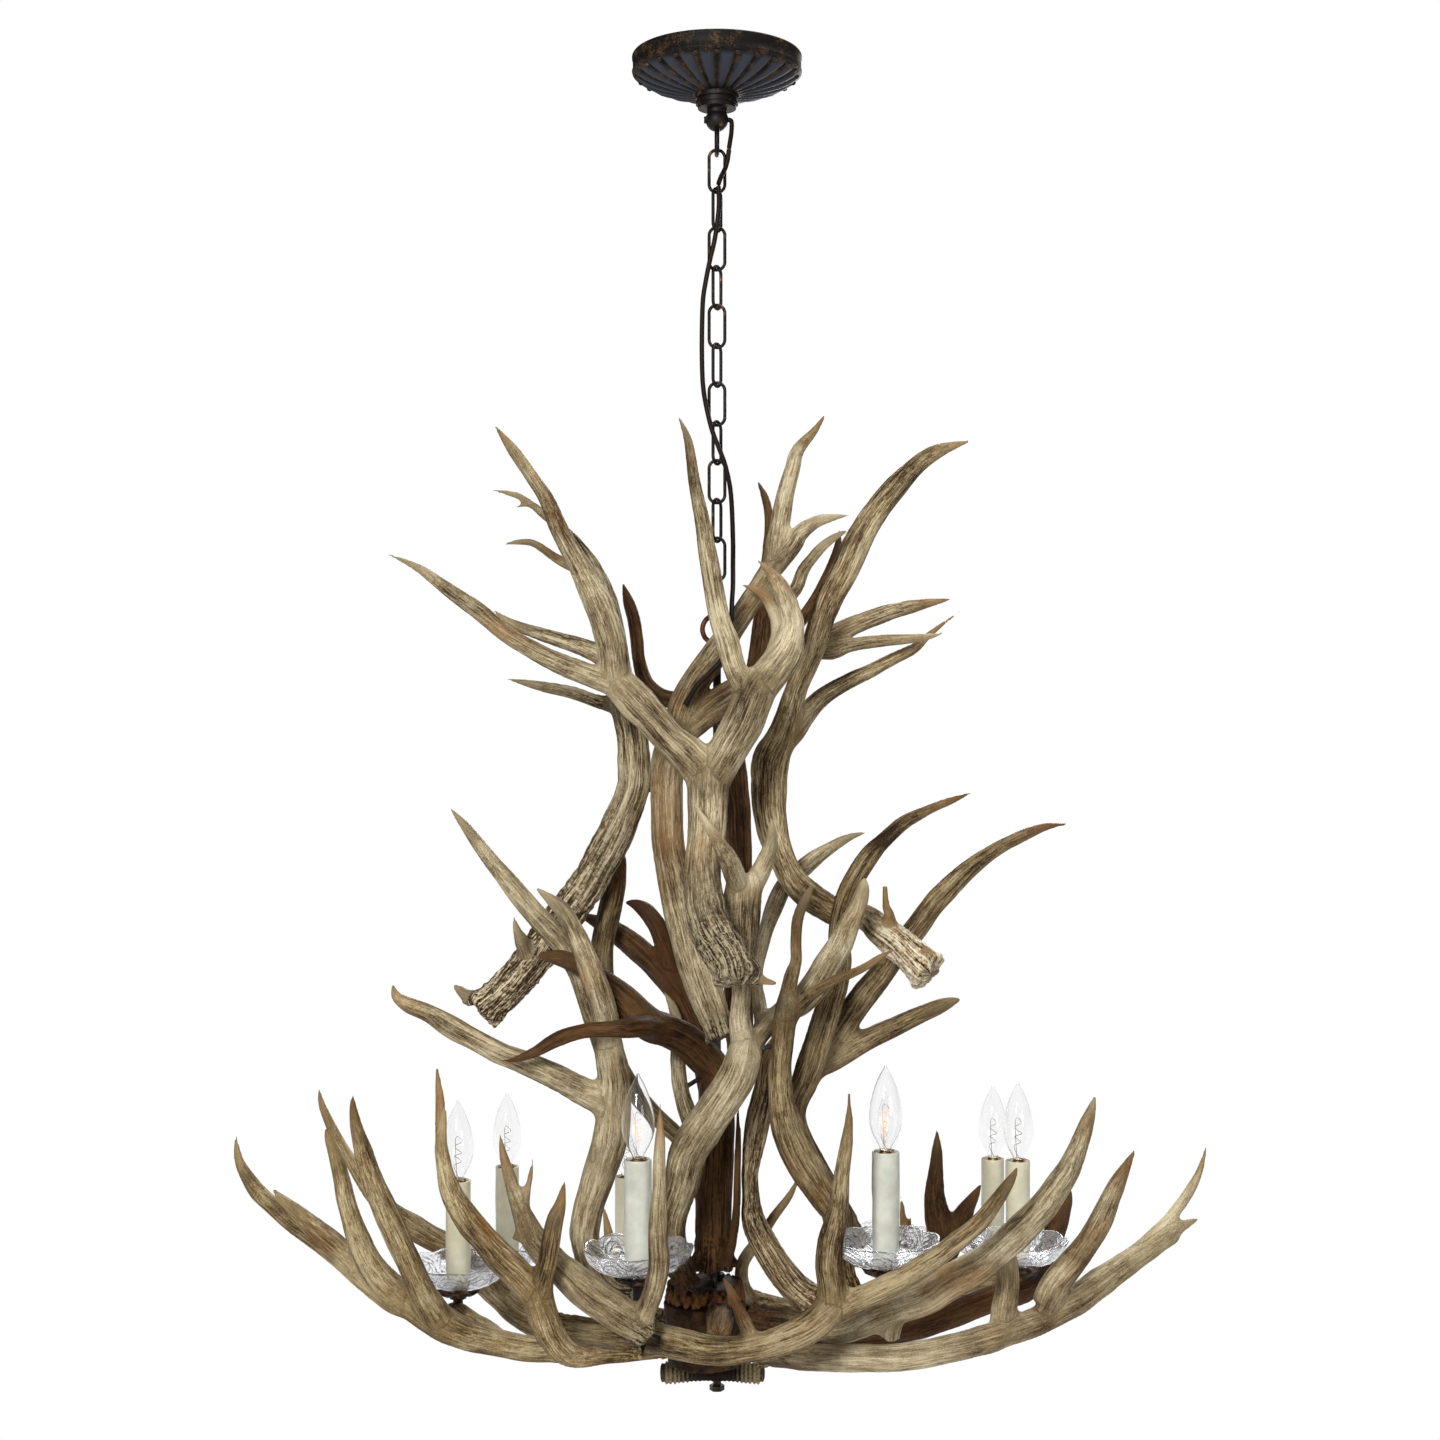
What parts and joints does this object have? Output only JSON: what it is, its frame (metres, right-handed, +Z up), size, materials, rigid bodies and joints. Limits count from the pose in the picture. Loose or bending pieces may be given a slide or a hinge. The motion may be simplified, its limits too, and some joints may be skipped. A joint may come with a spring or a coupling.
{
  "type": "antler chandelier",
  "caption": "Chandelier of interlocked shed antlers with candle lights on clear dishes, hung on a chain from a round ceiling canopy.",
  "frame": {"origin": "centre of the ceiling bracket's upper face, where it lies on the outlet box", "axes": "+Z up to the ceiling, -Y towards the viewer of the picture, +X to the viewer's right"},
  "size_m": [0.9511, 0.5691, 1.3337],
  "materials": {
    "bronze": "near black with golden rub",
    "brass": "plain",
    "reddish_bronze": "reddish brown",
    "steel": "zinc plated",
    "burr": "rough, pearled antler burr, weighed as dense wood",
    "dark_burr": "rough and nearly black, weighed as dense wood",
    "yellow_plastic": "matte",
    "cord": "dark brown flexible cord",
    "dish_glass": "clear, moulded with swirls",
    "candle_wax": "ivory with drips",
    "socket_plastic": "black",
    "bulb_glass": "clear with a warm glow",
    "antler": "grey-tan antler with brown streaks, weighed as dense wood",
    "dark_antler": "dark umber antler, weighed as dense wood",
    "red_antler": "reddish brown antler, weighed as dense wood"
  },
  "bodies": {
    "ceiling": {"ceiling_bracket": "bronze", "bracket_nipple": "brass", "nipple_locknut": "brass", "canopy": "bronze", "collar_ring": "bronze", "wire_nuts": "yellow_plastic"},
    "swivel": {"canopy_loop": "bronze", "cord_lead": "cord"},
    "top_link": {"chain_link_top": "bronze", "cord_link": "cord"},
    "hanging": {"chain_links": "bronze", "lower_loop": "reddish_bronze", "centre_rod": "steel", "rod_nuts": "steel", "hub_burr_ring": "burr", "hub_block": "dark_burr", "bottom_burrs": "dark_burr", "antler_screws": "steel", "cord_main": "cord", "light_stems": "brass", "leaf_cups": "bronze", "glass_dishes": "dish_glass", "candle_sleeves": "candle_wax", "lamp_sockets": "socket_plastic", "antler_crown_front": "antler", "antler_crown_left": "antler", "antler_crown_right": "antler", "antler_crown_back": "antler", "antler_crown_far": "red_antler", "antler_mid_palm": "antler", "antler_mid_front": "antler", "antler_mid_right": "antler", "antler_mid_long": "antler", "antler_mid_left": "antler", "antler_trunk": "dark_antler", "antler_mid_back": "dark_antler", "antler_mid_slim": "antler", "antler_mid_dark": "antler", "antler_front_stub": "antler", "antler_bowl_front": "antler", "antler_bowl_front_left": "antler", "antler_bowl_left_fork": "antler", "antler_bowl_left_long": "antler", "antler_bowl_back_left": "antler", "antler_bowl_front_right": "antler", "antler_bowl_right_long": "antler", "antler_bowl_right_dark": "dark_antler", "antler_bowl_right_palm": "dark_antler", "antler_bowl_back_right": "antler", "antler_bowl_back": "antler"},
    "lamp_1": {"bulb_1": "bulb_glass"},
    "lamp_2": {"bulb_2": "bulb_glass"},
    "lamp_3": {"bulb_3": "bulb_glass"},
    "lamp_4": {"bulb_4": "bulb_glass"},
    "lamp_5": {"bulb_5": "bulb_glass"},
    "lamp_6": {"bulb_6": "bulb_glass"},
    "lamp_7": {"bulb_7": "bulb_glass"},
    "lamp_8": {"bulb_8": "bulb_glass"}
  },
  "joints": [
    {"name": "canopy_turn", "type": "hinge", "parent": "ceiling", "child": "swivel", "pos_m": [0, 0, -0.06], "axis": [0, 0, 1], "range_deg": [-90, 90]},
    {"name": "fore_and_aft_swing", "type": "hinge", "parent": "swivel", "child": "top_link", "pos_m": [0, 0, -0.09305], "axis": [1, 0, 0], "range_deg": [-10, 10]},
    {"name": "sideways_swing", "type": "hinge", "parent": "top_link", "child": "hanging", "pos_m": [0, 0, -0.13185], "axis": [0, 1, 0], "range_deg": [-10, 10]},
    {"name": "lamp_1_screw", "type": "hinge", "parent": "hanging", "child": "lamp_1", "pos_m": [-0.259, 0, -1.123], "axis": [0, 0, 1], "continuous": true},
    {"name": "lamp_2_screw", "type": "hinge", "parent": "hanging", "child": "lamp_2", "pos_m": [-0.2287, 0.18, -1.14816], "axis": [0, 0, 1], "continuous": true},
    {"name": "lamp_3_screw", "type": "hinge", "parent": "hanging", "child": "lamp_3", "pos_m": [-0.073, -0.15, -1.06988], "axis": [0, 0, 1], "continuous": true},
    {"name": "lamp_4_screw", "type": "hinge", "parent": "hanging", "child": "lamp_4", "pos_m": [-0.10155, 0.23, -1.17016], "axis": [0, 0, 1], "continuous": true},
    {"name": "lamp_5_screw", "type": "hinge", "parent": "hanging", "child": "lamp_5", "pos_m": [0.15639, -0.15, -1.06246], "axis": [0, 0, 1], "continuous": true},
    {"name": "lamp_6_screw", "type": "hinge", "parent": "hanging", "child": "lamp_6", "pos_m": [0.30263, 0.2, -1.14373], "axis": [0, 0, 1], "continuous": true},
    {"name": "lamp_7_screw", "type": "hinge", "parent": "hanging", "child": "lamp_7", "pos_m": [0.30972, 0.06, -1.11588], "axis": [0, 0, 1], "continuous": true},
    {"name": "lamp_8_screw", "type": "hinge", "parent": "hanging", "child": "lamp_8", "pos_m": [0.18909, 0.262, -1.15923], "axis": [0, 0, 1], "continuous": true}
  ]
}
